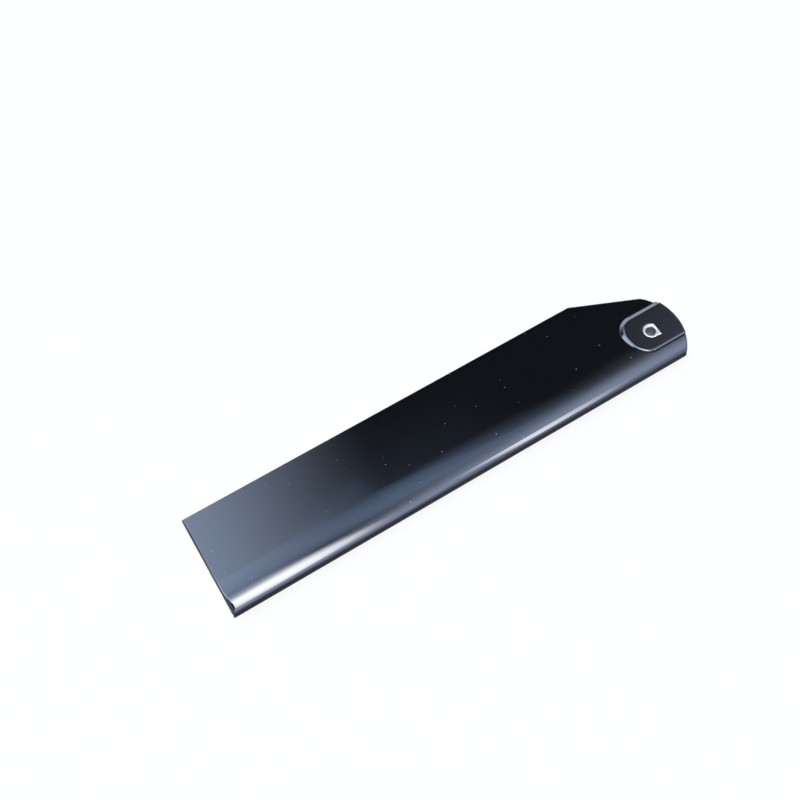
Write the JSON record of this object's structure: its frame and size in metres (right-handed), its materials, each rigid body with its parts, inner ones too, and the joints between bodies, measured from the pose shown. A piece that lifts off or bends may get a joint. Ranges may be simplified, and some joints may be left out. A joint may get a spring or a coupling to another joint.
{
  "type": "model helicopter tail rotor blade",
  "caption": "Straight glossy black tail rotor blade with a symmetrical section, a square tip, a tapered and rounded thick root, and a metal bush in the root for its grip bolt.",
  "frame": {"origin": "on the axis of the root bush's bore, midway between the two clamping pads", "axes": "+X from the bore axis to the tip, +Y to the leading edge, +Z along the bore axis"},
  "size_m": [0.1119, 0.0234, 0.005],
  "materials": {
    "blade_plastic": "high-gloss moulded black plastic",
    "bush_metal": "bright turned aluminium"
  },
  "bodies": {
    "root": {"blade": "blade_plastic", "root_bush": "bush_metal"}
  },
  "joints": []
}
